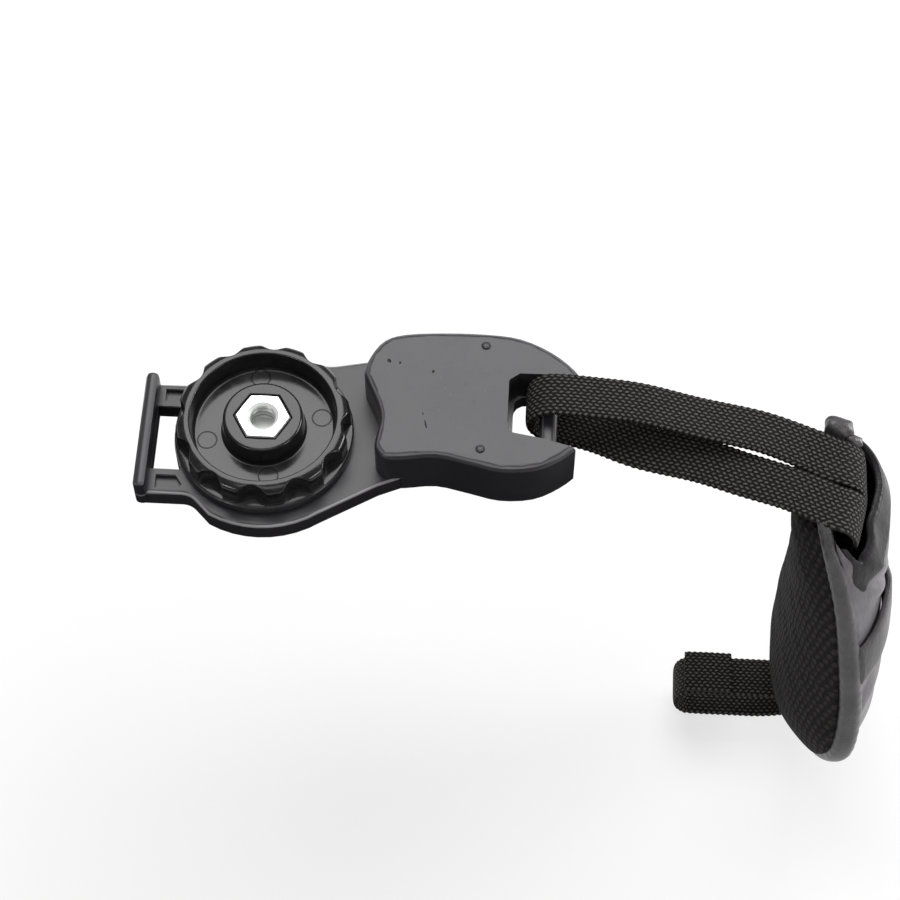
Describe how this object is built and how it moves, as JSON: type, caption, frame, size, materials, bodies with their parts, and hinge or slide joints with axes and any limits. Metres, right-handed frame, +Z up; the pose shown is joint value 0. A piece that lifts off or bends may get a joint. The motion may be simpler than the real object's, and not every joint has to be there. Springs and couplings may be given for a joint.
{
  "type": "camera hand grip strap",
  "caption": "Hand grip strap for a camera: a screw-on base plate with a scalloped thumb knob, an anchor block, adjustable webbing and a padded leather hand pad.",
  "frame": {"origin": "on the axis of the camera screw, in the plane of the rubber faces that the camera rests on", "axes": "+Z up along the camera screw, away from the camera and through the knob; +X along the plate from the screw to the anchor block and the pad; +Y across the plate, to the side where the webbing meets the block's straight edge"},
  "size_m": [0.164, 0.0636, 0.115],
  "materials": {
    "satin_plastic": "satin, finely textured black moulding",
    "knob_plastic": "glossy black moulding",
    "zinc_steel": "bright zinc plated",
    "dark_steel": "blackened",
    "nylon": "natural nylon",
    "rubber": "matt black",
    "webbing": "black woven webbing",
    "mesh_cloth": "ribbed black mesh",
    "leather": "smooth soft dark grey leather",
    "foam": "soft grey foam"
  },
  "bodies": {
    "base": {"base_plate": "satin_plastic", "rubber_ring": "rubber", "rubber_foot": "rubber", "knob_washer": "nylon", "anchor_block": "satin_plastic", "block_screw_1": "dark_steel", "block_screw_2": "dark_steel", "upper_webbing": "webbing", "lower_webbing": "webbing", "webbing_end_fold": "webbing", "upper_slider": "satin_plastic", "lower_slider": "satin_plastic", "pad_liner": "mesh_cloth", "pad_foam": "foam", "back_panel": "leather", "sleeve_cover": "leather", "upper_hem": "leather", "lower_hem": "leather", "cross_band": "leather", "near_binding": "leather", "far_binding": "leather", "corner_fold": "leather"},
    "knob": {"knob": "knob_plastic", "tripod_screw": "zinc_steel", "retaining_clip": "dark_steel"}
  },
  "joints": [
    {"name": "knob_turn", "type": "hinge", "parent": "base", "child": "knob", "pos_m": [0, 0, 0], "axis": [0, 0, 1], "continuous": true}
  ]
}
